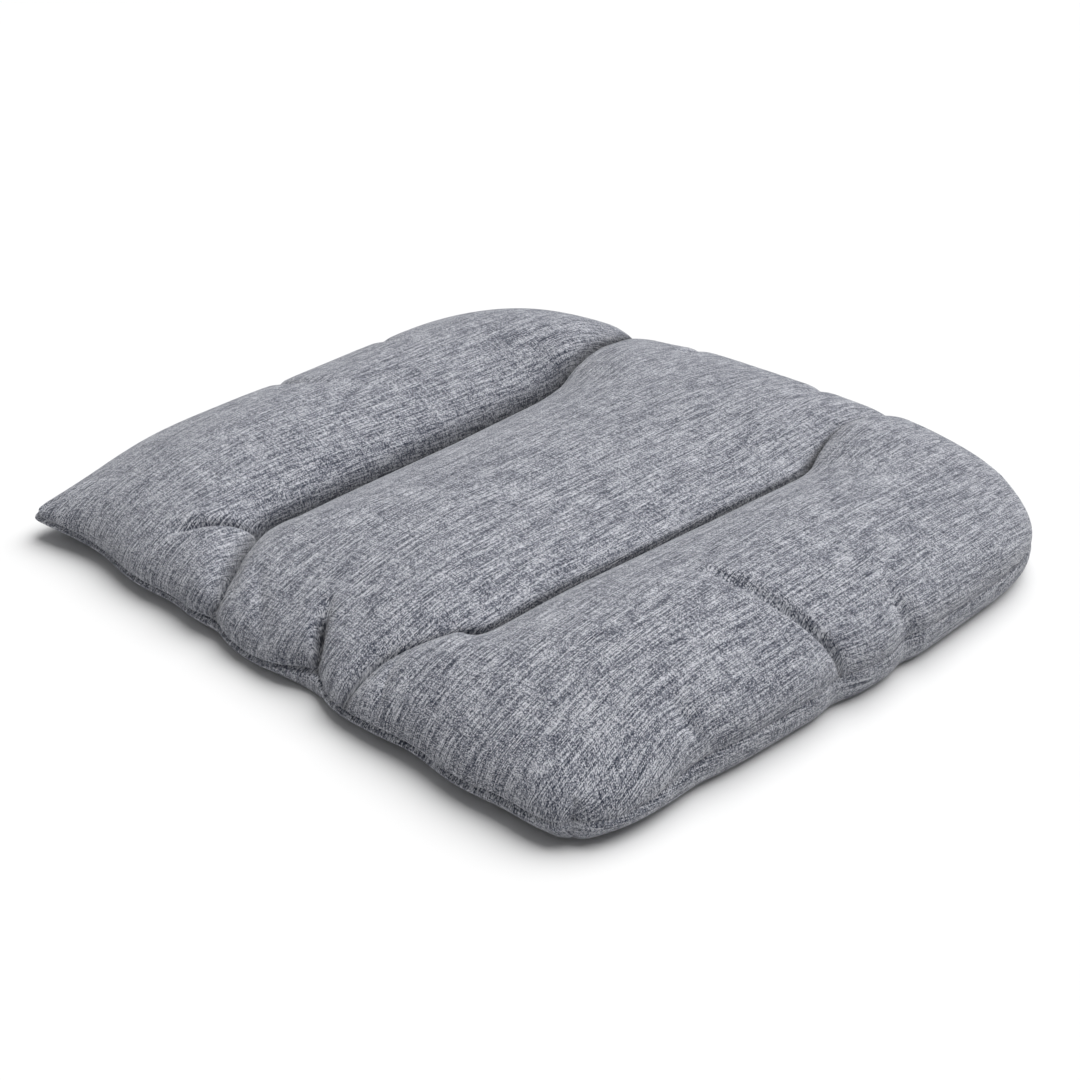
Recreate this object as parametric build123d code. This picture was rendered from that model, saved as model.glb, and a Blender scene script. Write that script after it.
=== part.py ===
from build123d import *
import os
from math import atan2, cos, degrees, hypot, radians, sin, sqrt

# Chair seat pad: two woven panels sewn together round the edge, turned right side out,
# stuffed with fibre through an opening in the back seam, and quilted right through on two
# lines that run front to back. Millimetres. +Z is up, the straight front edge faces -Y, and
# the origin is under the middle of the pad, on the surface that it lies on.

# Plan of the pad
pad_width = 480.0
pad_depth = 448.0
front_width = 442.0  # between the two front corners
widest_y = 55.0  # where the bowed sides are furthest apart
back_bow = 12.0  # how far the back edge bows out at its middle
front_corner_radius = 12.0
rear_corner_radius = 110.0

# Section of the pad
pad_height = 62.0
seam_height = 14.0  # the edge seam above the surface
edge_rise = 75.0  # from the sides and the back, how far in the top has levelled out
front_rise = 120.0  # the same from the front edge, where the top climbs more gently
under_rise = 24.0  # how far in from the seam the underside touches the surface
corner_ease = 0.8  # growth of the front corners' radius for each mm that the edge is drawn in
last_angle = 80.0  # where a rounded edge gives way to a level face, in degrees
levels = 6  # sections in each rounded edge

# Quilting
quilt_front = (92.0, -147.0)  # front and rear ends of the right quilting line
quilt_rear = (105.0, 100.0)
quilt_top = 9.0  # the top panel's outer face on the line
quilt_under = 5.0  # the bottom panel's outer face on the line
valley_half = 46.0  # half the width of the valley in the top, at the crown
dimple_half = 20.0  # half the width of the groove in the underside
floor_half = 3.0  # half the width of the flat strip that the stitches lie on
valley_lip = 3.0  # how far the cutters reach past the faces that they open
stitch_length = 6.0

# Cloth, thread and seams
cloth = 0.9
slack = 0.1  # room left round the fill, the threads and the stitch holes
thread = 0.6
allowance = 10.0  # width of the turned-in edges of both panels
stitch_inset = 2.5  # the edge stitches from the folded edge
closing_inset = 1.6  # the closing stitches, nearer to the fold
opening = 160.0  # length of the stuffing opening in the back edge
overlock = 3.0  # width of the overlocked edge of the allowance
tack_length = 4.4  # bar tacks, across the quilting line
tack_width = 1.6
tack_height = 0.7

half_width = pad_width / 2
half_depth = pad_depth / 2
bow_run = widest_y + half_depth
bow_in = (pad_width - front_width) / 2
side_radius = (bow_run**2 + bow_in**2) / (2 * bow_in)
rounding = [radians(last_angle * level / (levels - 1)) for level in range(levels)]


def side_x(y, inset):
    # half the pad's width at y, on the side arc drawn in by inset
    return half_width - inset - side_radius + sqrt(side_radius**2 - (y - widest_y) ** 2)


def outline(z, inset, front_rise_in=0.0):
    # the pad's plan at height z, drawn in from its edge, and further in at the front
    front_inset = inset + front_rise_in
    front_y = front_inset - half_depth
    back_y = half_depth - inset
    corner_y = back_y - back_bow
    middle_y = (front_y + corner_y) / 2
    front_x = side_x(front_y, inset)
    middle_x = side_x(middle_y, inset)
    corner_x = side_x(corner_y, inset)
    right = ThreePointArc((front_x, front_y), (middle_x, middle_y), (corner_x, corner_y))
    back = ThreePointArc((corner_x, corner_y), (0, back_y), (-corner_x, corner_y))
    left = ThreePointArc((-corner_x, corner_y), (-middle_x, middle_y), (-front_x, front_y))
    front = Line((-front_x, front_y), (front_x, front_y))
    plan = make_face([right, back, left, front])
    plan = fillet(plan.vertices().group_by(Axis.Y)[-1], rear_corner_radius - inset)
    front_radius = front_corner_radius + corner_ease * front_inset
    plan = fillet(plan.vertices().group_by(Axis.Y)[0], front_radius)
    return Pos(0, 0, z) * plan


def crown(skin):
    # the domed half above the seam, with its surface moved in by skin
    sections = []
    full_rise = (pad_height - seam_height) / sin(rounding[-1])
    for angle in rounding:
        drawn_in = 1 - cos(angle)
        z = seam_height + (full_rise - skin) * sin(angle)
        inset = edge_rise * drawn_in + skin * cos(angle)
        sections.append(outline(z, inset, (front_rise - edge_rise) * drawn_in))
    return loft(sections)


def base(skin):
    # the shallow half below the seam, down to the flat resting face
    sections = []
    full_drop = seam_height / sin(rounding[-1])
    for angle in rounding:
        z = seam_height - (full_drop - skin) * sin(angle)
        sections.append(outline(z, under_rise * (1 - cos(angle)) + skin * cos(angle)))
    return loft(sections)


def edge_ring(outer, inner, low, high):
    # a flat ring that follows the pad's edge: two insets, and two heights from the seam
    ring = outline(seam_height + low, outer) - outline(seam_height + low, inner)
    return extrude(ring, high - low)


quilt_run = quilt_rear[1] - quilt_front[1]
quilt_splay = quilt_rear[0] - quilt_front[0]
quilt_length = hypot(quilt_run, quilt_splay)


def on_quilt_line(side):
    # a place on one quilting line, right (1) or left (-1): local Y runs back along it
    turn = degrees(atan2(quilt_splay, quilt_run))
    return Pos(side * quilt_front[0], quilt_front[1], 0) * Rot(0, 0, -side * turn)


def both_sides(piece):
    return on_quilt_line(1) * piece + on_quilt_line(-1) * piece


def quilt_valley(floor_z, lip_z, lip_half, skin):
    # a groove with rounded shoulders and round ends, from its floor out past a face, with
    # its floor lowered and its walls moved back by skin
    up = 1 if lip_z > floor_z else -1
    sections = []
    for angle in rounding:
        half = floor_half + (lip_half - floor_half) * (1 - cos(angle)) + skin * cos(angle)
        z = floor_z - up * skin + (lip_z - floor_z) * sin(angle) / sin(rounding[-1])
        slot = SlotCenterToCenter(quilt_length, 2 * half, rotation=90)
        sections.append(Pos(0, quilt_length / 2, z) * slot)
    return loft(sections)


def top_valley(skin):
    return both_sides(quilt_valley(quilt_top, pad_height + valley_lip, valley_half, skin))


def under_dimple(skin):
    return both_sides(quilt_valley(quilt_under, -valley_lip, dimple_half, skin))


def stitch_legs(radius, z, end_z):
    # the upright part of every stitch on a quilting line, between two heights
    count = int(quilt_length // stitch_length)
    pitch = quilt_length / count
    leg = Pos(0, 0, (z + end_z) / 2) * Cylinder(radius, abs(end_z - z))
    return [Pos(0, pitch * (index + 0.5), 0) * leg for index in range(count)]


def stitch_row(z, lock_z):
    # a thread lying along the line, with a leg at each hole as far as its partner's leg
    row = Pos(0, quilt_length / 2, z) * Rot(90, 0, 0) * Cylinder(thread / 2, quilt_length)
    for leg in stitch_legs(thread / 2 - slack, z, lock_z):
        row = row + leg
    return row


def bar_tack(grow):
    # dense stitching across the end of a line: a bar on each face and the threads between
    length = tack_length + 2 * grow
    width = tack_width + 2 * grow
    low = quilt_under - tack_height - grow
    high = quilt_top + tack_height + grow
    bar = extrude(SlotOverall(length, width), tack_height + 2 * grow)
    waist = extrude(SlotOverall(length - thread, width - thread), high - low)
    return Pos(0, 0, quilt_top - grow) * bar + Pos(0, 0, low) * (bar + waist)


def both_tacks(grow):
    # a bar tack just past each end of a line, front and rear
    past = (tack_width + thread) / 2
    tack = bar_tack(grow)
    return [Pos(0, -past, 0) * tack, Pos(0, quilt_length + past, 0) * tack]


def edge_path(inset, z):
    # the line that stitches follow round the edge
    return outline(z, inset).face().outer_wire()


def edge_thread(inset, z, closing=False):
    # a thread laid round the edge except over the stuffing opening, or only over it
    gap = Pos(0, half_depth, z) * Box(opening, 2 * rear_corner_radius, pad_height)
    path = edge_path(inset, z)
    laid = Wire((path & gap if closing else path - gap).edges())
    return sweep(Plane(laid @ 0, z_dir=laid % 0) * Circle(thread / 2), path=laid)


def cloth_panel(outside, inside, turned_in, grooves):
    # a shell of cloth with its turned-in allowance, lined and opened by the quilting grooves
    lining = grooves(cloth) & pad_body
    panel = outside - inside + turned_in + lining
    return panel - grooves(0) - stitch_holes


def stuffing():
    # the fill: everything inside the cloth but the seam allowance and the stitches
    skin = cloth + slack
    room = cloth + thread + slack
    seam_slot = edge_ring(0, allowance + thread + slack, -room, room)
    body = crown(skin) + base(skin) - seam_slot
    return body - top_valley(skin) - under_dimple(skin) - stitch_holes


def overlock_binding():
    # the binding of looped thread over the raw edges of both allowances
    reach = cloth + thread
    binding = edge_ring(allowance - overlock, allowance + thread, -reach, reach)
    return binding - edge_ring(0, allowance, -cloth, cloth)


lock_z = (quilt_top + quilt_under) / 2
needle_z = quilt_top + thread / 2
bobbin_z = quilt_under - thread / 2
seam_needle_z = seam_height + cloth + thread / 2
seam_bobbin_z = seam_height - cloth - thread / 2

pad_crown = crown(0)
pad_base = base(0)
pad_body = pad_crown + pad_base
line_holes = stitch_legs(thread / 2, needle_z, bobbin_z) + both_tacks(slack)
stitch_holes = [on_quilt_line(side) * hole for side in (1, -1) for hole in line_holes]
top_allowance = edge_ring(cloth / 2, allowance, 0, cloth)
bottom_allowance = edge_ring(cloth / 2, allowance, -cloth, 0)

nodes = {
    "top_panel": cloth_panel(pad_crown, crown(cloth), top_allowance, top_valley),
    "bottom_panel": cloth_panel(pad_base, base(cloth), bottom_allowance, under_dimple),
    "fibre_fill": stuffing(),
    "edge_seam_needle_thread": edge_thread(stitch_inset, seam_needle_z),
    "edge_seam_bobbin_thread": edge_thread(stitch_inset, seam_bobbin_z),
    "closing_seam_thread": edge_thread(closing_inset, seam_needle_z, closing=True),
    "overlock_thread": overlock_binding(),
}
for name, side in (("right", 1), ("left", -1)):
    place = on_quilt_line(side)
    front_tack, rear_tack = both_tacks(0)
    nodes[name + "_quilt_needle_thread"] = place * stitch_row(needle_z, lock_z)
    nodes[name + "_quilt_bobbin_thread"] = place * stitch_row(bobbin_z, lock_z)
    nodes["front_" + name + "_bar_tack"] = place * front_tack
    nodes["rear_" + name + "_bar_tack"] = place * rear_tack

os.makedirs("parts", exist_ok=True)
for node, solid in nodes.items():
    export_step(solid, "parts/" + node + ".step")
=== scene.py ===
import math

import bpy
import numpy as np
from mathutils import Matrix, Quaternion, Vector


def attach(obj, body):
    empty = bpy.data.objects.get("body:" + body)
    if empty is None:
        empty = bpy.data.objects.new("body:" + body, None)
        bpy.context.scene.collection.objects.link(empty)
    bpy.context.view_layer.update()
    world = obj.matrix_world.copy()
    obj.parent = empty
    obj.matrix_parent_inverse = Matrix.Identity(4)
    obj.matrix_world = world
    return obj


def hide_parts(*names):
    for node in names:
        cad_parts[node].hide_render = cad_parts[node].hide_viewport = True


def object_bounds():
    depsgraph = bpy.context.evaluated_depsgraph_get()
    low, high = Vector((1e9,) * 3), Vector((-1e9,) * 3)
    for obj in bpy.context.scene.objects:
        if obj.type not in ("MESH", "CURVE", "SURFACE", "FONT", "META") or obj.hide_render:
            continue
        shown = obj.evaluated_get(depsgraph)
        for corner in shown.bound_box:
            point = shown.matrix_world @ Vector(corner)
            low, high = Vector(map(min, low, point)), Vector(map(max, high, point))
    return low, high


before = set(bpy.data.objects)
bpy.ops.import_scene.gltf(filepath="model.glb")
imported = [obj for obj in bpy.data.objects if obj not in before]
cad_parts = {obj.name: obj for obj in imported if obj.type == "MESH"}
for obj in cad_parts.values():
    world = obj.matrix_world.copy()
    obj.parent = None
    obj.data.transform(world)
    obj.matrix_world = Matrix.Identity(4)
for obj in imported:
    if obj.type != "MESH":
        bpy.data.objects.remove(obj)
cadLow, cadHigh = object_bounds()
mm = 0.001
print("frame loaded")


# The cut of the pad. Lengths in metres; the overall size comes from the CAD box.
cut = {
    "halfWide": cadHigh.x,
    "halfDeep": cadHigh.y,
    "frontDrawIn": 19 * mm,  # how much narrower each side is at the front corners
    "widestY": 62 * mm,  # where the sides are furthest apart
    "backSquareness": 3.1,  # 2 would be an ellipse, more is squarer
    "cornerRound": (7 * mm, 17 * mm),  # radius of the left and right front corners
}
seamLine = {
    "front": 10.5 * mm,  # height of the edge seam along the front
    "side": 19 * mm,  # and round the sides and the back
    "climb": 120 * mm,  # it climbs over this distance behind the front edge
    "leftMore": 4 * mm,  # higher on the left side
    "tipLift": 4 * mm,  # and at the front corners, within tipReach
    "tipReach": 45 * mm,
    "frontWave": 0.9 * mm,
    "sideWave": 1.1 * mm,
    "pinch": (31 * mm, 13 * mm, 1.5 * mm),  # x, reach and rise at the pinch in the front edge
    "dip": (-14 * mm, 22 * mm, 3 * mm),  # x, reach and dip to the left of it
}
shape = {
    "crown": cadHigh.z - 5 * mm,  # top of the side lobes before the filling swells
    "middleLobe": 0.93,  # height of the middle lobe as a share of the side lobes
    "sideRise": 72 * mm,  # from the sides and back, how far in the top has levelled
    "frontRise": 150 * mm,
    "fullness": 0.53,  # lower is a fuller, squarer edge
    "edgeBulge": 3.5 * mm,  # the top panel overhangs its seam
    "fade": 25 * mm,  # what is done to the edge fades over this distance inland
    "groove": 2.2 * mm,  # how deep the seam lies between the two panels
    "grooveHalf": 1.3 * mm,
    "cornerCalm": (222 * mm, -222 * mm, 34 * mm),  # no groove round the right front corner
    "lineFloor": 9 * mm,  # the top panel on the quilting lines
    "lineUnder": 5 * mm,  # the bottom panel on the quilting lines
    "lineUnderHalf": 20 * mm,  # half width of its groove there
    "underWide": 7 * mm,  # width of the rolled edge under the seam
    "underBulge": 1.5 * mm,
    "underIn": 5 * mm,  # along the front the underside is narrower than the seam
    "cornerLift": 4 * mm,  # both front corners are off the floor, the left one more
    "cornerReach": (115 * mm, 85 * mm),  # how far that goes from the left and right corners
    "ridge": 0.9 * mm,  # the turned-in allowance shows as a ridge below the seam
    "ridgeDrop": 2.6 * mm,
    "ridgeHalf": 1.5 * mm,
}
lobes = {
    "outerFull": 0.5,  # lower is a fuller lobe beside its channel
    "middleFull": 0.68,
    "lean": 3.5 * mm,  # the lobes lean over the channels
    "plungeHalf": 3.2 * mm,  # beside its line each lobe plunges to the bottom of a slit
    # as shares of the drop: the outer and the middle lobe, and the creases front and rear
    "plunge": {"left": (0.2, 0.14, 0.16, 0.6), "right": (0.36, 0.6, 0.55, 0.7)},
    "creaseWide": 75 * mm,  # a channel turns into a crease where the middle lobe's half width
    "creaseNarrow": 30 * mm,  # falls from one to the other
}
# A quilted channel runs as a crease from the front seam over its sewn line to the back seam.
# Each row is x and y, the half widths of the lobes outside and inside it (mm), and the share
# of the crown that is pulled down there.
channels = {
    "left": [(-46, -226, 12, 11, 0.84), (-50, -212, 15, 13, 0.86), (-60, -198, 19, 17, 0.88),
             (-71, -182, 26, 26, 0.90), (-82, -165, 38, 44, 0.90), (-92, -147, 60, 82, 0.98),
             (-95, -90, 71, 98, 1.0), (-100, 0, 71, 98, 1.0), (-104, 75, 71, 98, 1.0),
             (-105, 100, 60, 80, 0.98), (-106, 122, 42, 54, 0.92), (-112, 155, 28, 38, 0.90),
             (-120, 190, 20, 27, 0.93), (-127, 228, 14, 17, 0.95)],
    "right": [(68, -226, 15, 12, 0.76), (68, -213, 18, 15, 0.78), (70, -197, 22, 19, 0.77),
              (77, -180, 30, 26, 0.74), (85, -162, 40, 42, 0.85), (92, -147, 60, 82, 0.98),
              (95, -90, 71, 98, 1.0), (100, 0, 71, 98, 1.0), (104, 75, 71, 98, 1.0),
              (105, 100, 60, 80, 0.98), (100, 122, 42, 54, 0.94), (95, 149, 28, 38, 0.92),
              (96, 184, 19, 26, 0.95), (102, 228, 14, 17, 0.97)],
}
# Folds and dents: x, y, depth in the panel, and half width; mm.
folds = {
    "leftTackSide": [(-90, -149, 12, 7), (-92, -164, 13, 8), (-98, -180, 11, 8),
                     (-107, -193, 6, 9), (-116, -204, 0, 9)],
    "leftInner": [(-62, -186, 0, 4), (-54, -196, 5, 5), (-44, -207, 4, 5), (-38, -216, 0, 4)],
    "leftSoft": [(-46, -188, 0, 9), (-32, -198, 3, 9), (-16, -209, 3, 9), (-4, -218, 2, 9)],
    "pinch": [(12, -183, 0, 7), (18, -193, 9, 6), (25, -203, 22, 6.5), (31, -213, 22, 7),
              (34, -226, 16, 8)],
    "rightFront": [(76, -190, 0, 7), (80, -203, 3, 8), (86, -214, 3, 8), (90, -224, 2, 8)],
    "rightDent": [(132, -57, 0, 14), (156, -57, 4, 11), (180, -54, 6.5, 9), (200, -50, 9, 7),
                  (216, -46, 11, 6), (230, -43, 12, 5), (240, -41, 11, 5)],
    "rightLow": [(212, 18, 0, 9), (226, 13, 5, 7), (240, 10, 6, 6)],
    "rightFore": [(196, -134, 0, 16), (212, -142, 4, 14), (226, -140, 4, 12)],
    "leftDent": [(-150, -30, 0, 18), (-180, -38, 3, 14), (-205, -42, 6, 11), (-226, -40, 9, 8),
                 (-240, -38, 7, 7)],
    "leftRear": [(-190, 44, 0, 14), (-212, 52, 5, 12), (-232, 58, 5, 10)],
    "backLeft": [(-54, 172, 0, 12), (-58, 190, 4, 12), (-62, 214, 4, 12)],
    "backRight": [(48, 176, 0, 12), (46, 194, 4, 12), (42, 214, 4, 12)],
}
# Places where the edge is drawn in: x, y, pull and reach in mm, and how far the underside
# lets go of it. A pull below 0 lets the edge out.
tucks = [(31, -224, 10, 17, 0.9), (114, -226, 2.8, 22, -0.6), (-47, -224, 4, 12, 0.6),
         (-87, -226, 3, 22, -0.6), (175, -224, 3, 20, 0.4), (232, -42, 5, 12, 0.4),
         (236, 12, 4, 10, 0.4), (-234, -40, 5, 14, 0.4), (-238, 58, 3, 12, 0.4),
         (-127, 215, 4, 16, 0.4), (105, 217, 4, 16, 0.4), (224, -140, 3, 18, 0.4),
         (222, -222, 11, 24, 0.4), (-224, -226, -5, 24, 0.4), (-165, -226, 5, 30, 0),
         (228, -150, 4, 60, 0.3), (238, 145, -4, 40, 0), (-190, 185, -5, 55, 0.4),
         (234, -75, 3, 50, 0), (-240, 100, -8, 60, 0.4), (-235, -160, -3, 50, 0.4),
         (228, -224, 3, 12, 0.4)]
# Places where the filling is fuller or thinner: x, y, share of the crown, reach; mm.
fuller = [(-165, 100, 0.09, 80), (170, 140, -0.10, 60), (-100, 190, -0.12, 45),
          (20, -150, 0.05, 60), (150, -150, 0.03, 60)]


def rise(share, power):
    # climbs steeply from 0, then levels to 1: one minus a square, raised to a power
    return (1 - (1 - np.clip(share, 0, 1)) ** 2) ** power


def ease(share):
    # smooth step from 0 to 1
    share = np.clip(share, 0, 1)
    return share * share * (3 - 2 * share)


def smoothRoute(rows, each=6):
    # Catmull-Rom: each span is a cubic through its ends, steered by the next points out
    rows = np.array(rows, float)
    ends = np.vstack([2 * rows[0] - rows[1], rows, 2 * rows[-1] - rows[-2]])
    t = np.linspace(0, 1, each, endpoint=False)[:, None]
    spans = [0.5 * (2 * b + (c - a) * t + (2 * a - 5 * b + 4 * c - d) * t ** 2
                    + (3 * b - a - 3 * c + d) * t ** 3)
             for a, b, c, d in zip(ends, ends[1:], ends[2:], ends[3:])]
    return np.vstack(spans + [rows[-1:]])


def nearRoute(x, y, route):
    # nearest distance to a polyline, which side, and its other columns there. The columns are
    # blended with weights that fall with the eighth power of distance, so nothing jumps
    best = np.full(x.shape, 1e9)
    side = np.zeros(x.shape)
    total = np.zeros(x.shape)
    values = np.zeros(x.shape + (route.shape[1] - 2,))
    for start, end in zip(route, route[1:]):
        run = end[:2] - start[:2]
        t = np.clip(((x - start[0]) * run[0] + (y - start[1]) * run[1]) / (run @ run), 0, 1)
        offX = x - start[0] - t * run[0]
        offY = y - start[1] - t * run[1]
        away = np.hypot(offX, offY)
        near = away < best
        best = np.where(near, away, best)
        side = np.where(near, np.sign(offX * run[1] - offY * run[0]), side)
        weight = ((away + 2 * mm) / (20 * mm)) ** -8 * np.hypot(*run)
        total += weight
        values += weight[..., None] * (start[2:] + t[..., None] * (end - start)[2:])
    return best, side, values / total[..., None]


def routeOf(rows):
    # a smooth route in metres: the first four columns are lengths
    route = smoothRoute(rows)
    route[:, :4] *= mm
    return route


channelRoutes = {name: routeOf(rows) for name, rows in channels.items()}
sewn = slice(30, 55)  # the sewn part of each channel's route, from tack to tack
foldRoutes = {name: routeOf(rows) for name, rows in folds.items()}


def sideHalf(y):
    # half width on the bowed sides: full at the widest place, less by a square towards the front
    back = (cut["widestY"] - y) / (cut["widestY"] + cut["halfDeep"])
    return cut["halfWide"] - cut["frontDrawIn"] * np.clip(back, 0, None) ** 2


def planPoint(u, v):
    # front part: rows between the bowed sides; rear part: a square pressed into a superellipse
    frontY = cut["widestY"] + v * (cut["widestY"] + cut["halfDeep"])
    rearDeep = cut["halfDeep"] - cut["widestY"]
    n = cut["backSquareness"]
    big = np.maximum(np.abs(u), np.abs(v)) + 1e-9
    norm = (np.abs(u) ** n + np.abs(v) ** n + 1e-12) ** (1 / n)
    press = 1 - big ** 2 * (1 - big / norm)
    rear = v > 0
    x = np.where(rear, cut["halfWide"] * u * press, u * sideHalf(frontY))
    y = np.where(rear, cut["widestY"] + rearDeep * v * press, frontY)
    return x, y


def edgeDistance(x, y):
    # distance in from the sides and back, distance in from the front, and the way out
    n = cut["backSquareness"]
    a, b = cut["halfWide"], cut["halfDeep"] - cut["widestY"]
    yRear = np.clip(y - cut["widestY"], 0, None)
    norm = ((np.abs(x) / a) ** n + (yRear / b) ** n + 1e-12) ** (1 / n)
    gradX = norm ** (1 - n) * (np.abs(x) / a) ** (n - 1) / a
    gradY = norm ** (1 - n) * (yRear / b) ** (n - 1) / b
    size = np.hypot(gradX, gradY) + 1e-9
    rear = (1 - norm) / size
    side = np.where(y > cut["widestY"], rear, sideHalf(y) - np.abs(x))
    front = y + cut["halfDeep"]
    outX = np.sign(x) * np.where(y > cut["widestY"], gradX / size, 1)
    outY = np.where(y > cut["widestY"], gradY / size, 0)
    return np.clip(side, 0, None), np.clip(front, 0, None), outX, outY


def seamHeight(x, y):
    # low along the front and climbing to the sides and back by a smooth step, plus bell curves
    # at the front corners, the pinch and the dip, plus products of two sines for the waves
    climb = ease((y + cut["halfDeep"]) / seamLine["climb"])
    cornerX = np.abs(x) - cut["halfWide"] + cut["frontDrawIn"]
    tip = np.exp(-(cornerX ** 2 + (y + cut["halfDeep"]) ** 2) / seamLine["tipReach"] ** 2)
    wave = seamLine["frontWave"] * np.sin(x / (17 * mm) + 1.3) * np.sin(x / (41 * mm)) \
        + seamLine["sideWave"] * np.sin(y / (19 * mm)) * np.sin(y / (53 * mm) + 0.7)
    pinchX, pinchReach, pinchRise = seamLine["pinch"]
    dipX, dipReach, dipDeep = seamLine["dip"]
    rising = pinchRise * np.exp(-(x - pinchX) ** 2 / pinchReach ** 2) * (1 - climb)
    dip = dipDeep * np.exp(-(x - dipX) ** 2 / dipReach ** 2) * (1 - climb)
    left = seamLine["leftMore"] * ease((-x - 150 * mm) / (80 * mm)) * climb
    return (seamLine["front"] + (seamLine["side"] - seamLine["front"]) * climb + left
            + seamLine["tipLift"] * tip + wave + rising - dip)


def channelShare(x, y):
    # product over both channels of one minus the pull, which fades across each lobe; also how
    # far inside the middle lobe, how the lobes lean over the channels, and how far down the
    # cloth is there, signed towards its channel
    share = np.ones(x.shape)
    inner = np.ones(x.shape)
    lean = np.zeros(x.shape)
    drawn = np.zeros(x.shape)
    for name, route in channelRoutes.items():
        away, side, values = nearRoute(x, y, route)
        outerHalf, middleHalf, pull = np.moveaxis(values, -1, 0)
        inside = side > 0 if name == "left" else side < 0
        towards = np.where(inside, -1, 1) * (-1 if name == "left" else 1)
        outer = rise(away / outerHalf, lobes["outerFull"])
        middle = rise(away / middleHalf, lobes["middleFull"])
        outerPlunge, middlePlunge, frontPlunge, rearPlunge = lobes["plunge"][name]
        plunge = np.where(inside, middlePlunge, outerPlunge)
        crease = np.where(y < 0, frontPlunge, rearPlunge)
        creased = ease((lobes["creaseWide"] - middleHalf) / (lobes["creaseWide"] - lobes["creaseNarrow"]))
        plunge = plunge + (crease - plunge) * creased
        narrow = lobes["plungeHalf"] * (0.65 + 0.35 * ease((middleHalf - 20 * mm) / (50 * mm)))
        plunge = plunge * rise(away / narrow, 0.5)
        lobe = np.where(inside, middle, outer)
        lobe = lobe + plunge * (1 - lobe)
        share *= 1 - pull * (1 - lobe)
        inner *= ease(0.5 + np.where(inside, away, -away) / (30 * mm))
        lean -= towards * np.minimum(pull * 4 * lobe * (1 - lobe) * lobes["lean"], 0.5 * away)
        drawn -= towards * pull * (1 - lobe)
    return share, inner, lean, drawn


def topHeight(x, y):
    # seam height, plus the crown times the edge's rise and the channels' share, less the folds
    side, front = edgeDistance(x, y)[:2]
    edge = (rise(side / shape["sideRise"], shape["fullness"])
            * rise(front / shape["frontRise"], shape["fullness"]))
    share, inner, lean = channelShare(x, y)[:3]
    seam = seamHeight(x, y)
    inland = ease(np.minimum(side, front) / (60 * mm))
    low = seam + (shape["lineFloor"] - seam) * inland
    crown = shape["crown"] * (1 + (shape["middleLobe"] - 1) * inner)
    for bumpX, bumpY, more, reach in fuller:
        square = ((x - bumpX * mm) ** 2 + (y - bumpY * mm) ** 2) / (reach * mm) ** 2
        crown = crown + shape["crown"] * more * np.exp(-square)
    height = (crown - low) * edge * share
    kept = height
    for route in foldRoutes.values():
        away, turn, values = nearRoute(x, y, route)
        kept = kept - values[..., 0] * (1 - rise(away / values[..., 1], 0.6))
    return low + np.maximum(kept, 0.12 * height), edge, lean * ease(edge)


def drawIn(x, y, below):
    # how far each tuck pulls the edge inwards
    pull = np.zeros(x.shape)
    for tuckX, tuckY, depth, reach, loose in tucks:
        square = ((x - tuckX * mm) ** 2 + (y - tuckY * mm) ** 2) / (reach * mm) ** 2
        pull += depth * mm * np.exp(-square) * (1 - loose * below)
    return pull


def shifted(x, y, edge, bulge, rising, below=0):
    # the plan moved out where the wall bulges, and in at the tucks and in the seam's groove;
    # below the seam the tucks let go, and the front is drawn in. The square front corners are
    # then rounded by the usual distance from a quarter circle
    side, front, outX, outY = edgeDistance(x, y)
    bySide = np.exp(-side / shape["fade"])
    byFront = np.exp(-front / shape["fade"])
    wayX = outX * bySide
    wayY = outY * bySide - byFront
    reach = np.maximum(bySide, byFront) / (np.hypot(wayX, wayY) + 1e-6)
    calmX, calmY, calmReach = shape["cornerCalm"]
    calm = 1 - np.exp(-((x - calmX) ** 2 + (y - calmY) ** 2) / calmReach ** 2)
    groove = shape["groove"] * (0.2 + 0.8 * byFront) * np.exp(-(rising / shape["grooveHalf"]) ** 2) * calm
    out = bulge * 4 * edge * (1 - edge) - drawIn(x, y, below) - groove
    out = out - shape["underIn"] * below * byFront
    radius = np.where(x < 0, cut["cornerRound"][0], cut["cornerRound"][1])
    pastX = np.clip(1 - side / radius, 0, None)
    pastY = np.clip(1 - front / radius, 0, None)
    rounded = (1 - np.maximum(pastX, pastY) / (np.hypot(pastX, pastY) + 1e-9)) * (pastX * pastY > 0)
    return (x + wayX * reach * out - np.sign(x) * pastX * radius * rounded,
            y + wayY * reach * out + pastY * radius * rounded)


def spacing(count, marks, ends):
    # parameter lines from -1 to 1, denser near the marks and squeezed towards both ends
    t = np.linspace(-1, 1, 4001)
    dense = 1 + sum((2.2 * np.exp(-((t - mark) / 0.06) ** 2) for mark in marks), 0 * t)
    total = np.cumsum(dense)
    total = (total - total[0]) / (total[-1] - total[0])
    s = np.interp(np.linspace(0, 1, count), total, t)
    return s * (1 + ends) - ends * s ** 3


step = 4  # the cloth that is simulated has every fourth line of the finished grid
lineMark = 0.42
uLines = spacing(80 * step + 1, (-lineMark, -0.27, 0.27, lineMark), 0.5)
vLines = spacing(72 * step + 1, (), 0.48)
uGrid, vGrid = np.meshgrid(uLines, vLines)
planX, planY = planPoint(uGrid, vGrid)


def topSurface():
    # the plan shifted at its edge and leaning at the channels, at the top's height
    z, edge, lean = topHeight(planX, planY)
    x, y = shifted(planX, planY, edge, shape["edgeBulge"], z - seamHeight(planX, planY))
    return np.stack([x + lean, y, z], -1)


def lineGroove(x, y):
    # the bottom panel's rise along both sewn lines
    lift = np.zeros(x.shape)
    for route in channelRoutes.values():
        away = nearRoute(x, y, route[sewn])[0]
        lift = lift + shape["lineUnder"] * (1 - rise(away / shape["lineUnderHalf"], 0.7))
    return lift


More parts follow.
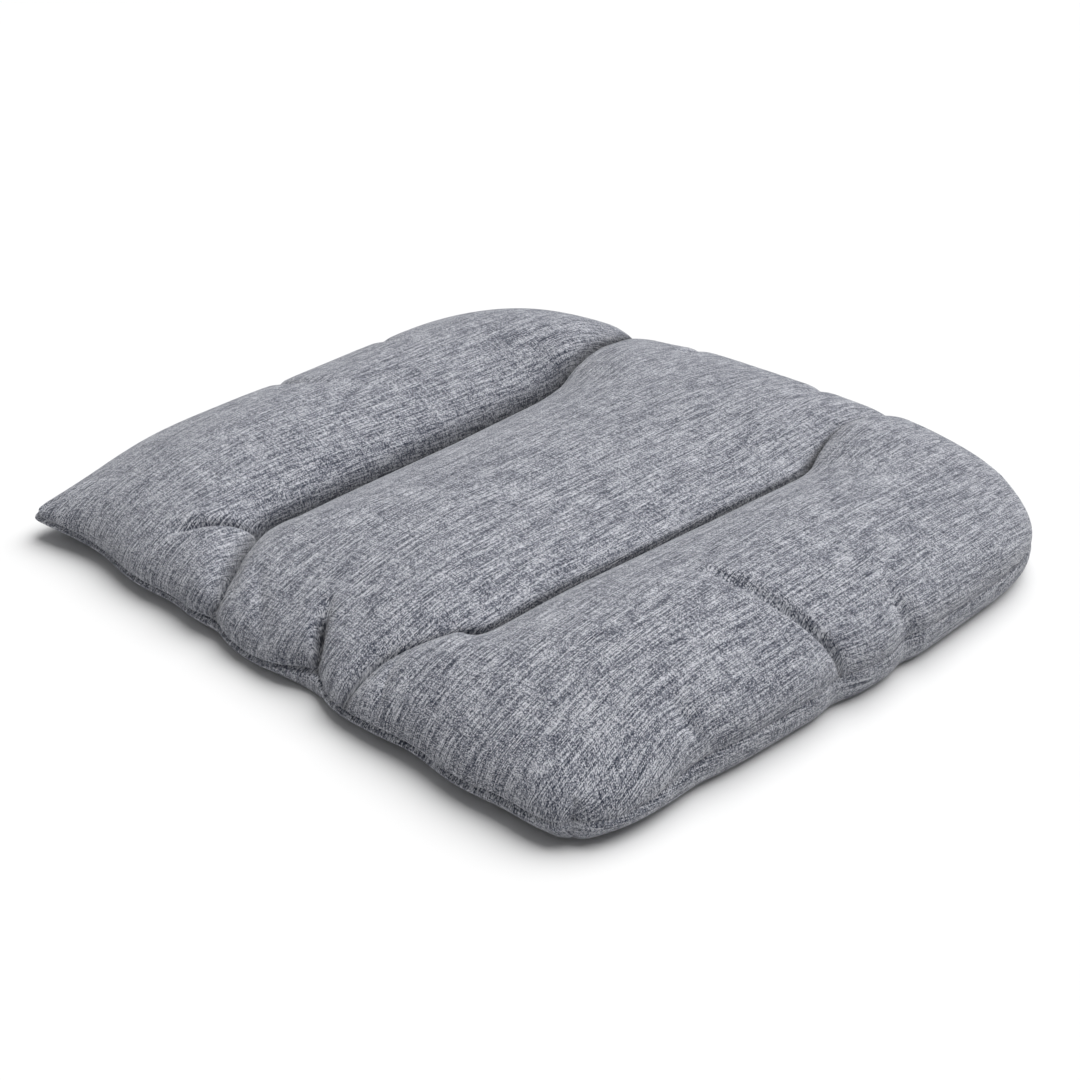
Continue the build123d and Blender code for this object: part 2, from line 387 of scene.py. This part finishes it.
def underSurface():
    # rolled edge from the seam down to the flat underside, with a ridge just below the seam
    side, front, outX, outY = edgeDistance(planX, planY)
    inset = np.minimum(side, front)
    seam = seamHeight(planX, planY)
    edge = rise(inset / shape["underWide"], 0.5)
    cornerSquare = (np.abs(planX) - cut["halfWide"]) ** 2 + (planY + cut["halfDeep"]) ** 2
    leftReach, rightReach = shape["cornerReach"]
    corner = np.exp(-cornerSquare / np.where(planX < 0, leftReach, rightReach) ** 2)
    lift = shape["cornerLift"] * (1 + 0.6 * (planX < 0)) * corner * np.exp(-inset / (60 * mm))
    drop = (seam - lift) * edge
    x, y = shifted(planX, planY, edge, shape["underBulge"], drop, edge)
    z = seam - drop + lineGroove(planX, planY) * ease(inset / (40 * mm))
    bySide = np.exp(-side / shape["fade"])
    byFront = np.exp(-front / shape["fade"])
    ridge = shape["ridge"] * np.exp(-((drop - shape["ridgeDrop"]) / shape["ridgeHalf"]) ** 2)
    ridge = ridge * ease(drop / mm) * (0.4 + 0.6 * byFront)
    return np.stack([x + outX * bySide * ridge, y + outY * bySide * ridge - byFront * ridge, z], -1)


def addMesh(name, points, faces):
    # a smooth-shaded object at the origin, from points and lists of corners
    mesh = bpy.data.meshes.new(name)
    mesh.from_pydata(points.reshape(-1, 3), [], faces)
    mesh.polygons.foreach_set("use_smooth", np.ones(len(mesh.polygons), bool))
    mesh.update()
    piece = bpy.data.objects.new(name, mesh)
    bpy.context.scene.collection.objects.link(piece)
    return piece


def gridFaces(rows, columns, flip=False):
    # one four-sided face for each cell of the grid
    index = np.arange(rows * columns).reshape(rows, columns)
    around = [index[:-1, :-1], index[:-1, 1:], index[1:, 1:], index[1:, :-1]]
    return np.stack(around[::-1] if flip else around, -1).reshape(-1, 4)


stuffing = {
    "pressure": 4.0,
    "frames": 20,
    "most": 6 * mm,  # the furthest that the filling pushes the cloth out
    "held": 3.5 * mm,  # the cloth is held this far beside the channels
    "stretch": 20,  # how stiff the cloth is against stretching, and against bending
    "bend": 2,
    "quality": 6,
}


def closeGrids(upper, lower):
    # two grids joined along their shared border
    rows, columns = upper.shape[:2]
    count = rows * columns
    index = np.arange(count).reshape(rows, columns)
    border = np.ones((rows, columns), bool)
    border[1:-1, 1:-1] = False
    underIndex = np.where(border, index, count + np.cumsum(~border).reshape(rows, columns) - 1)
    faces = np.vstack([gridFaces(rows, columns),
                       underIndex.ravel()[gridFaces(rows, columns, True)]])
    return np.vstack([upper.reshape(-1, 3), lower[~border]]), faces, index, underIndex, border


def swell(top, under):
    # the coarse pad is closed, pinned on its seam and its sewn lines, and filled by pressure
    coarseTop, coarseUnder = top[::step, ::step], under[::step, ::step]
    rows, columns = coarseTop.shape[:2]
    count = rows * columns
    points, faces, index, underIndex, border = closeGrids(coarseTop, coarseUnder)
    x, y = planX[::step, ::step], planY[::step, ::step]
    held = border.copy()
    for route in channelRoutes.values():
        held |= nearRoute(x, y, route)[0] < stuffing["held"]
    pinned = np.unique(np.concatenate([index[held], underIndex.ravel()]))
    piece = addMesh("stuffed", points, faces.tolist())
    group = piece.vertex_groups.new(name="sewn")
    group.add(pinned.tolist(), 1.0, "REPLACE")
    cloth = piece.modifiers.new("cloth", "CLOTH")
    settings = cloth.settings
    settings.use_pressure = True
    settings.uniform_pressure_force = stuffing["pressure"]
    settings.vertex_group_mass = "sewn"
    settings.quality = stuffing["quality"]
    settings.tension_stiffness = stuffing["stretch"]
    settings.compression_stiffness = stuffing["stretch"]
    settings.bending_stiffness = stuffing["bend"]
    settings.effector_weights.gravity = 0
    cloth.collision_settings.use_collision = False
    scene = bpy.context.scene
    cloth.point_cache.frame_end = stuffing["frames"]
    for number in range(1, stuffing["frames"] + 1):
        scene.frame_set(number)
    shown = piece.evaluated_get(bpy.context.evaluated_depsgraph_get())
    moved = np.zeros(len(points) * 3, np.float32)
    shown.data.vertices.foreach_get("co", moved)
    scene.frame_set(1)
    bpy.data.objects.remove(piece)
    push = (moved.reshape(-1, 3) - points)[:count]
    size = np.linalg.norm(push, axis=1, keepdims=True) + 1e-9
    print("filled: cloth moved up to %.1f mm, mean %.1f" % (size.max() / mm, size.mean() / mm))
    push = push / size * stuffing["most"] * np.tanh(size / stuffing["most"])
    return finer(push.reshape(rows, columns, 3))


def finer(coarse):
    # cubic between every fourth line, first down the rows and then along them
    for axis in (0, 1):
        coarse = np.moveaxis(coarse, axis, 0)
        lines = len(coarse)
        place = np.arange((lines - 1) * step + 1) / step
        first = np.minimum(place.astype(int), lines - 2)
        t = (place - first)[:, None, None]
        a, b, c, d = (coarse[np.clip(first + k, 0, lines - 1)] for k in (-1, 0, 1, 2))
        coarse = 0.5 * (2 * b + (c - a) * t + (2 * a - 5 * b + 4 * c - d) * t ** 2
                        + (3 * b - a - 3 * c + d) * t ** 3)
        coarse = np.moveaxis(coarse, 0, axis)
    return coarse


top = topSurface()
under = underSurface()
print("panels cut: %d points each" % (top.size // 3))
top = top + swell(top, under)
print("pad filled")


layOut = {
    "walls": 0.8,  # how much of the edge walls' height the pattern of the cloth is given
    "channels": 0.45,  # and of the channels' walls
    "calmFront": 90 * mm,  # both fade over this distance from the front edge
    "calmSide": 45 * mm,
    "underShift": (0.61, 0.37),  # so that the underside doesn't mirror the top at the seam
}


def topMap():
    # flat cloth coordinates in metres: the plan, spread outwards by how far the cloth has come
    # down its edges, and towards each channel by how far it has come down there
    side, front, outX, outY = edgeDistance(planX, planY)
    share, inner, lean, drawn = channelShare(planX, planY)
    tall = shape["crown"] - shape["lineFloor"]
    bySide = rise(side / shape["sideRise"], shape["fullness"])
    byFront = rise(front / shape["frontRise"], shape["fullness"])
    calm = ease(front / layOut["calmFront"])
    fall = layOut["walls"] * tall * share * (1 - bySide) * calm
    ahead = tall * share * (1 - byFront) * ease(side / layOut["calmSide"])
    across = planX + outX * fall + layOut["channels"] * tall * drawn * bySide * calm
    return np.stack([across, planY + outY * fall - ahead], -1)


def underMap(points):
    # the plan, spread outwards by the height of the rolled edge, and moved off the top's pattern
    side, front, outX, outY = edgeDistance(planX, planY)
    bySide = np.exp(-side / shape["fade"]) * points[..., 2]
    byFront = np.exp(-front / shape["fade"]) * points[..., 2]
    shiftX, shiftY = layOut["underShift"]
    return np.stack([planX + outX * bySide + shiftX, planY + outY * bySide - byFront + shiftY], -1)


def giveMap(piece, flat):
    # the map is stored for each face corner
    corners = np.zeros(len(piece.data.loops), np.int32)
    piece.data.loops.foreach_get("vertex_index", corners)
    layer = piece.data.uv_layers.new(name="cloth")
    layer.data.foreach_set("uv", flat.reshape(-1, 2)[corners].ravel().astype(np.float32))


def standFor(piece, slot, *nodes):
    # the piece takes the place of its CAD nodes
    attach(piece, "root")
    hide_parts(*nodes)


weave = {
    "yarn": 0.55 * mm,  # pitch of the threads, both ways
    "streak": 0.7,  # how much the light and dark stretches show
    "fleck": 0.3,  # how much each crossing differs
    "patch": 0.03,  # how much wider patches differ
    "slub": 22 * mm,  # length of the light and dark stretches in the long threads
    "cross": 11 * mm,  # the same in the cross threads
    "longOnTop": (0.35, 1.0),  # share of the long thread at every other crossing
    "dark": (0.028, 0.034, 0.055),
    "middle": (0.205, 0.215, 0.255),
    "light": (0.62, 0.63, 0.67),
    "steps": (0.36, 0.5, 0.66),  # where the tone turns dark, middle and light
    "paintedShadeStrength": 0.9,  # painted shade: the cloth's colour is darkened along the channels and deep folds, standing in for the shade in the creases
    "paintedShadeWide": 4.5 * mm,
    "paintedShadeFold": 2 * mm,
    "roughness": 0.92,
    "sheen": 0.25,
    "gloss": 0.2,
    "relief": 0.2 * mm,  # height of the threads in the bump
    "reliefStrength": 0.6,
}


def paintedCreaseShade():
    # painted shade in the creases: two bell curves of the distance from the channels' lines, wide and
    # narrow, and one of the distance from the deep folds; the larger counts
    paintedShade = np.zeros(planX.shape)
    for route in channelRoutes.values():
        away, side, values = nearRoute(planX, planY, route)
        dark = 0.5 * np.exp(-(away / weave["paintedShadeWide"]) ** 2) + 0.5 * np.exp(-(away / mm) ** 2)
        paintedShade = np.maximum(paintedShade, dark * ease(1.6 * values[..., 2] - 0.6))
    for route in foldRoutes.values():
        away, side, values = nearRoute(planX, planY, route)
        deep = ease((values[..., 0] - 6 * mm) / (12 * mm))
        paintedShade = np.maximum(paintedShade, np.exp(-(away / weave["paintedShadeFold"]) ** 2) * deep)
    return paintedShade


topPanel = addMesh("topPanel", top, gridFaces(*top.shape[:2]).tolist())
# painted shade in the creases, kept for each point and read by the cloth's colour
layer = topPanel.data.attributes.new("paintedShade", "FLOAT", "POINT")
layer.data.foreach_set("value", paintedCreaseShade().ravel().astype(np.float32))
giveMap(topPanel, topMap())
bottomPanel = addMesh("bottomPanel", under, gridFaces(*under.shape[:2], True).tolist())
giveMap(bottomPanel, underMap(under))
print("panels made")


def nodeMaker(material):
    # short form for adding a node and wiring its inputs by number or name
    tree = material.node_tree

    def make(kind, inputs=(), **settings):
        node = tree.nodes.new(kind)
        for key, value in settings.items():
            setattr(node, key, value)
        for key, value in dict(inputs).items():
            if isinstance(value, bpy.types.NodeSocket):
                tree.links.new(value, node.inputs[key])
            else:
                node.inputs[key].default_value = value
        return node

    return make


def wovenCloth():
    # plain weave: every long and cross thread has its own row of a noise, read along the
    # thread; the crossings show one or the other in turn, each with a tone of its own
    material = bpy.data.materials.new("melangeWeave")
    material.use_nodes = True
    make = nodeMaker(material)
    links = material.node_tree.links
    shader = material.node_tree.nodes["Principled BSDF"]

    def maths(operation, a, b=0.0):
        # the result of one sum
        return make("ShaderNodeMath", {0: a, 1: b}, operation=operation).outputs[0]

    def noiseAt(place, scale, detail):
        # smooth noise from 0 to 1 at a place
        return make("ShaderNodeTexNoise", {"Vector": place, "Scale": scale, "Detail": detail},
                    noise_dimensions="2D").outputs[0]

    def pair(x, y):
        # a place from two numbers
        return make("ShaderNodeCombineXYZ", {0: x, 1: y}).outputs[0]

    def aboutHalf(value, amount):
        # the value's distance from a half, times the amount
        return maths("MULTIPLY", maths("SUBTRACT", value, 0.5), amount)

    flat = make("ShaderNodeUVMap", uv_map="cloth").outputs[0]
    parts = make("ShaderNodeSeparateXYZ", {0: flat})
    across = maths("DIVIDE", parts.outputs[0], weave["yarn"])
    along = maths("DIVIDE", parts.outputs[1], weave["yarn"])
    column = maths("FLOOR", across)
    row = maths("FLOOR", along)
    slub = maths("DIVIDE", parts.outputs[1], weave["slub"])
    crossSlub = maths("DIVIDE", parts.outputs[0], weave["cross"])
    long = noiseAt(pair(maths("MULTIPLY", column, 7.31), slub), 1.0, 1.0)
    cross = noiseAt(pair(crossSlub, maths("MULTIPLY", row, 5.17)), 1.0, 1.0)
    turn = maths("FLOORED_MODULO", maths("ADD", column, row), 2.0)
    least, most = weave["longOnTop"]
    share = make("ShaderNodeMapRange", {0: turn, 3: least, 4: most}).outputs[0]
    tone = make("ShaderNodeMix", {0: share, 2: cross, 3: long}, data_type="FLOAT").outputs[0]
    tone = maths("ADD", aboutHalf(tone, weave["streak"]), 0.5)
    own = make("ShaderNodeTexWhiteNoise", {"Vector": pair(column, row)}, noise_dimensions="2D").outputs[0]
    tone = maths("ADD", tone, aboutHalf(own, weave["fleck"]))
    tone = maths("ADD", tone, aboutHalf(noiseAt(flat, 60.0, 2.0), weave["patch"]))
    ramp = make("ShaderNodeValToRGB", {0: tone})
    stops = ramp.color_ramp.elements
    stops[0].position, stops[0].color = weave["steps"][0], weave["dark"] + (1,)
    stops[1].position, stops[1].color = weave["steps"][2], weave["light"] + (1,)
    stops.new(weave["steps"][1]).color = weave["middle"] + (1,)
    # painted shade: the base colour is darkened along the channels and deep folds
    paintedShade = make("ShaderNodeAttribute", attribute_name="paintedShade").outputs["Fac"]
    shade = maths("SUBTRACT", 1.0, maths("MULTIPLY", paintedShade, weave["paintedShadeStrength"]))
    deep = make("ShaderNodeVectorMath", {0: ramp.outputs[0]}, operation="SCALE")
    links.new(shade, deep.inputs["Scale"])
    links.new(deep.outputs[0], shader.inputs["Base Color"])
    waveX = maths("SINE", maths("MULTIPLY", across, math.pi))
    waveY = maths("SINE", maths("MULTIPLY", along, math.pi))
    relief = maths("ABSOLUTE", maths("MULTIPLY", waveX, waveY))
    bump = make("ShaderNodeBump", {"Height": relief, "Strength": weave["reliefStrength"],
                                   "Distance": weave["relief"]})
    links.new(bump.outputs[0], shader.inputs["Normal"])
    shader.inputs["Roughness"].default_value = weave["roughness"]
    shader.inputs["Sheen Weight"].default_value = weave["sheen"]
    shader.inputs["Specular IOR Level"].default_value = weave["gloss"]
    return material


clothLook = wovenCloth()
for piece in (topPanel, bottomPanel):
    piece.data.materials.append(clothLook)
standFor(topPanel, "cover_fabric", "top_panel")
standFor(bottomPanel, "cover_fabric", "bottom_panel")
print("cloth finished")

padding = {
    "inside": 2.4 * mm,  # how far the filling lies inside the cloth
    "color": (0.86, 0.86, 0.84),
}


def gridNormal(points):
    # cross product of the grid's two tangents, pointing up
    normal = np.cross(np.gradient(points, axis=1), np.gradient(points, axis=0))
    return normal / (np.linalg.norm(normal, axis=-1, keepdims=True) + 1e-12)


def lowestNear(values, reach):
    # the lowest value within a few lines each way
    for axis in (0, 1):
        shifts = range(-reach, reach + 1)
        values = np.minimum.reduce([np.roll(values, shift, axis) for shift in shifts])
    return values


def makeFill():
    # both panels moved inwards along their normals, less where they come together at the seam
    upper, lower = top[::2, ::2], under[::2, ::2]
    x, y = planX[::2, ::2], planY[::2, ::2]
    gap = np.linalg.norm(upper - lower, axis=-1, keepdims=True)
    inside = np.minimum(padding["inside"], 0.3 * gap)
    side, front, outX, outY = edgeDistance(x, y)
    bySide = np.exp(-side / (10 * mm))
    byFront = np.exp(-front / (10 * mm))
    inward = np.stack([-outX * bySide, byFront - outY * bySide, 0 * x], -1) * padding["inside"]
    inland = ease(np.minimum(side, front) / (20 * mm))[..., None]
    sunk = upper.copy()
    sunk[..., 2] = lowestNear(top[..., 2], 5)[::2, ::2]
    upper = upper + (sunk - upper) * inland - gridNormal(upper) * inside + inward
    lower = lower + gridNormal(lower) * inside + inward
    points, faces = closeGrids(upper, lower)[:2]
    return addMesh("fibreFill", points, faces.tolist())


def plainLook(name, color, roughness):
    # one colour and one roughness throughout
    material = bpy.data.materials.new(name)
    material.use_nodes = True
    shader = material.node_tree.nodes["Principled BSDF"]
    shader.inputs["Base Color"].default_value = color + (1,)
    shader.inputs["Roughness"].default_value = roughness
    return material


fibreFill = makeFill()
fibreFill.data.materials.append(plainLook("fillFibre", padding["color"], 0.95))
standFor(fibreFill, "fill_fibre", "fibre_fill")
print("fill made")

threads = {
    "radius": 0.3 * mm,
    "stitch": 6 * mm,
    "dip": 1.6 * mm,  # how far each quilting stitch dips into the cloth at its ends
    "lineFront": (92 * mm, -147 * mm),  # front and rear ends of the right quilting line
    "lineRear": (105 * mm, 100 * mm),
    "tackHalf": 1.9 * mm,  # half length of a bar tack, and its width
    "tackWide": 1.4 * mm,
    "tackTurns": 9,
    "tackLeg": 0.8 * mm,  # radius of the threads between its two faces
    "seamStitch": 3 * mm,
    "seamInset": 2.5 * mm,
    "closingInset": 1.6 * mm,
    "opening": 160 * mm,  # the stuffing opening, closed by its own thread
    "apart": 1.2 * mm,  # the needle and bobbin threads from the seam's middle
    "overlockInset": 8.7 * mm,  # middle of the coil over the raw edges
    "overlockHalf": (1.7 * mm, 1.3 * mm),  # half its width and height
    "overlockTurns": 620,
    "color": (0.10, 0.11, 0.14),
    "overlockColor": (0.42, 0.43, 0.46),
}


def tube(path, level, radius, sides=6):
    # rings of points: the path plus radius times cos and sin of the angle, along two
    # directions square to the path, of which the first is also square to "level"
    ahead = np.gradient(path, axis=0)
    ahead /= np.linalg.norm(ahead, axis=1, keepdims=True) + 1e-12
    first = np.cross(ahead, level)
    first /= np.linalg.norm(first, axis=1, keepdims=True) + 1e-12
    second = np.cross(ahead, first)
    angle = np.arange(sides) / sides * 2 * math.pi
    rings = path[:, None] + radius * (np.cos(angle)[:, None] * first[:, None]
                                      + np.sin(angle)[:, None] * second[:, None])
    index = np.arange(len(path) * sides).reshape(-1, sides)
    turned = np.roll(index, -1, 1)
    quads = np.stack([index[:-1], turned[:-1], turned[1:], index[1:]], -1).reshape(-1, 4)
    return rings.reshape(-1, 3), quads, np.stack([index[0][::-1], index[-1]])


def threadPiece(name, look, slot, node, *tubes):
    # one mesh of all the tubes, each closed by a cap at both ends
    faces, count = [], 0
    for points, quads, caps in tubes:
        faces += (quads + count).tolist() + (caps + count).tolist()
        count += len(points)
    piece = addMesh(name, np.vstack([points for points, quads, caps in tubes]), faces)
    piece.data.materials.append(look)
    standFor(piece, slot, node)
    return piece


def seamRing(inset, lift, count=3200):
    # walk round the parameter square, shrunk by the inset, and lay it on the plan
    walk = np.arange(count) / count * 8
    u = np.clip(np.abs(walk % 8 - 4) - 2, -1, 1)
    v = np.clip(np.abs((walk + 2) % 8 - 4) - 2, -1, 1)
    deep = np.where(v < 0, cut["widestY"] + cut["halfDeep"], cut["halfDeep"] - cut["widestY"])
    x, y = planPoint(u * (1 - inset / cut["halfWide"]), v * (1 - inset / deep))
    z = seamHeight(x, y) + lift
    x, y = shifted(x, y, 0 * x, 0, 0)
    return np.stack([x, y, z], -1)


def partOfRing(ring, closing):
    # the ring without the stuffing opening, or only the opening
    gap = (np.abs(ring[:, 0]) < threads["opening"] / 2) & (ring[:, 1] > 0)
    keep = gap if closing else ~gap
    start = int(np.argmax(keep & ~np.roll(keep, 1)))
    return np.roll(ring, -start, 0)[:int(keep.sum())]


def seamThread(inset, lift, closing=False):
    # the ring, with a cosine wave of one stitch length in its height
    path = partOfRing(seamRing(inset, lift), closing)
    walked = np.cumsum(np.linalg.norm(np.diff(path, axis=0, prepend=path[:1]), axis=1))
    path[:, 2] -= 0.35 * lift * np.cos(walked / threads["seamStitch"] * 2 * math.pi)
    return tube(path, (0, 0, 1), threads["radius"])


def overlockThread():
    # a coil round the raw edges of the allowance: ring plus cos across it and sin up
    count = threads["overlockTurns"] * 10
    middle = seamRing(threads["overlockInset"], 0, count)
    ahead = np.roll(middle, -1, 0) - np.roll(middle, 1, 0)
    ahead[:, 2] = 0
    ahead /= np.linalg.norm(ahead, axis=1, keepdims=True)
    inward = np.stack([-ahead[:, 1], ahead[:, 0], 0 * ahead[:, 0]], -1)
    angle = np.arange(count) / 10 * 2 * math.pi
    halfWide, halfHigh = threads["overlockHalf"]
    path = middle + inward * (halfWide * np.cos(angle))[:, None]
    path[:, 2] += halfHigh * np.sin(angle)
    return tube(path, ahead, threads["radius"], 5)


threadLook = plainLook("sewingThread", threads["color"], 0.6)
overlockLook = plainLook("overlockThread", threads["overlockColor"], 0.6)
inset, apart = threads["seamInset"], threads["apart"]
threadPiece("edgeNeedleThread", threadLook, "sewing_thread", "edge_seam_needle_thread",
            seamThread(inset, apart))
threadPiece("edgeBobbinThread", threadLook, "sewing_thread", "edge_seam_bobbin_thread",
            seamThread(inset, -apart))
threadPiece("closingThread", threadLook, "sewing_thread", "closing_seam_thread",
            seamThread(threads["closingInset"], apart, True))
threadPiece("overlockThread", overlockLook, "overlock_thread", "overlock_thread", overlockThread())


def quiltThreads(start, end):
    # each stitch lies on the cloth and dips through it at both ends, by a bell curve
    length = np.linalg.norm(end - start)
    count = int(length // threads["stitch"])
    share = np.linspace(0, 1, count * 12 + 1)[:, None]
    flat = start + (end - start) * share
    dip = threads["dip"] * np.exp(-(np.abs((share[:, 0] * count) % 1 - 0.5) / 0.09) ** 2)
    level = np.append(((end - start) / length)[::-1] * (1, -1), 0.0)
    above = topHeight(flat[:, 0], flat[:, 1])[0] + threads["radius"] * 0.6 - dip
    below = lineGroove(flat[:, 0], flat[:, 1]) - threads["radius"] * 0.6 + dip
    needle = tube(np.column_stack([flat, above]), level, threads["radius"])
    bobbin = tube(np.column_stack([flat, below]), level, threads["radius"])
    return needle, bobbin


def barTack(x, y, turn):
    # a close zigzag across the end of the line, on both faces, and the thread between them
    share = np.linspace(0, 1, 145)
    along = (share - 0.5) * threads["tackWide"]
    across = threads["tackHalf"] * (np.abs((share * threads["tackTurns"]) % 2 - 1) * 2 - 1)
    tackX = x + across * math.cos(turn) - along * math.sin(turn)
    tackY = y + across * math.sin(turn) + along * math.cos(turn)
    above = 0 * tackX + topHeight(np.array([x]), np.array([y]))[0] + threads["radius"] * 0.8
    below = 0 * tackX + lineGroove(np.array([x]), np.array([y])) - threads["radius"] * 0.8
    rising = np.linspace(below.min(), above.max() - mm, 12)
    leg = np.column_stack([np.full(12, x), np.full(12, y), rising])
    return (tube(np.column_stack([tackX, tackY, above]), (0, 0, 1), threads["radius"]),
            tube(np.column_stack([tackX, tackY, below]), (0, 0, 1), threads["radius"]),
            tube(leg, (1, 0, 0), threads["tackLeg"], 8))


for name, side in (("left", -1), ("right", 1)):
    start = np.array(threads["lineFront"]) * (side, 1)
    end = np.array(threads["lineRear"]) * (side, 1)
    needle, bobbin = quiltThreads(start, end)
    threadPiece(name + "NeedleThread", threadLook, "sewing_thread", name + "_quilt_needle_thread", needle)
    threadPiece(name + "BobbinThread", threadLook, "sewing_thread", name + "_quilt_bobbin_thread", bobbin)
    turn = -math.atan2(end[0] - start[0], end[1] - start[1])
    frontTack = barTack(start[0], start[1] - mm, turn)  # the tacks lie just past the line's ends
    rearTack = barTack(end[0], end[1] + mm, turn)
    threadPiece("front" + name.title() + "Tack", threadLook, "sewing_thread",
                "front_" + name + "_bar_tack", *frontTack)
    threadPiece("rear" + name.title() + "Tack", threadLook, "sewing_thread",
                "rear_" + name + "_bar_tack", *rearTack)
print("threads made")

studio = {
    "azimuth": 44.2,  # degrees to the right of straight in front
    "elevation": 29.0,
    "tilt": 0.19,
    "distance": 0.892,
    "lens": 51.2,
    "target": Vector((24.1 * mm, -41.6 * mm, 17.8 * mm)),
    "world": 0.22,
    "overhead": 3.8,
    "lampAngle": 65,
    "lampFrom": (0.05, 0.58, 1.1),
    "floorReach": 6.0,
    "floorColor": (0.79, 0.79, 0.79),
}


def setStudio():
    # camera on a sphere about its target, an even pale world and one wide soft lamp
    a, e = math.radians(studio["azimuth"]), math.radians(studio["elevation"])
    back = Vector((math.sin(a) * math.cos(e), -math.cos(a) * math.cos(e), math.sin(e)))
    camera = bpy.data.objects.new("camera", bpy.data.cameras.new("camera"))
    camera.data.lens = studio["lens"]
    camera.data.clip_start = 0.01
    camera.location = studio["target"] + back * studio["distance"]
    turn = Quaternion(back, -math.radians(studio["tilt"]))
    camera.rotation_mode = "QUATERNION"
    camera.rotation_quaternion = turn @ (-back).to_track_quat("-Z", "Y")
    bpy.context.scene.collection.objects.link(camera)
    bpy.context.scene.camera = camera
    world = bpy.data.worlds.new("studio")
    world.use_nodes = True
    world.node_tree.nodes["Background"].inputs[0].default_value = (1, 1, 1, 1)
    world.node_tree.nodes["Background"].inputs[1].default_value = studio["world"]
    bpy.context.scene.world = world
    lamp = bpy.data.lights.new("overhead", "SUN")
    lamp.angle = math.radians(studio["lampAngle"])
    lamp.energy = studio["overhead"]
    overhead = bpy.data.objects.new("overhead", lamp)
    overhead.location = studio["lampFrom"]
    overhead.rotation_euler = (-Vector(studio["lampFrom"])).to_track_quat("-Z", "Y").to_euler()
    bpy.context.scene.collection.objects.link(overhead)
    bpy.context.scene.view_settings.view_transform = "Standard"


def layFloor():
    # one large square
    reach = studio["floorReach"]
    corners = np.array([(-reach, -reach, 0), (reach, -reach, 0), (reach, reach, 0), (-reach, reach, 0)])
    floor = addMesh("floor", corners, [(0, 1, 2, 3)])
    floor.data.materials.append(plainLook("floorPaper", studio["floorColor"], 0.9))


layFloor()
setStudio()
print("studio set")
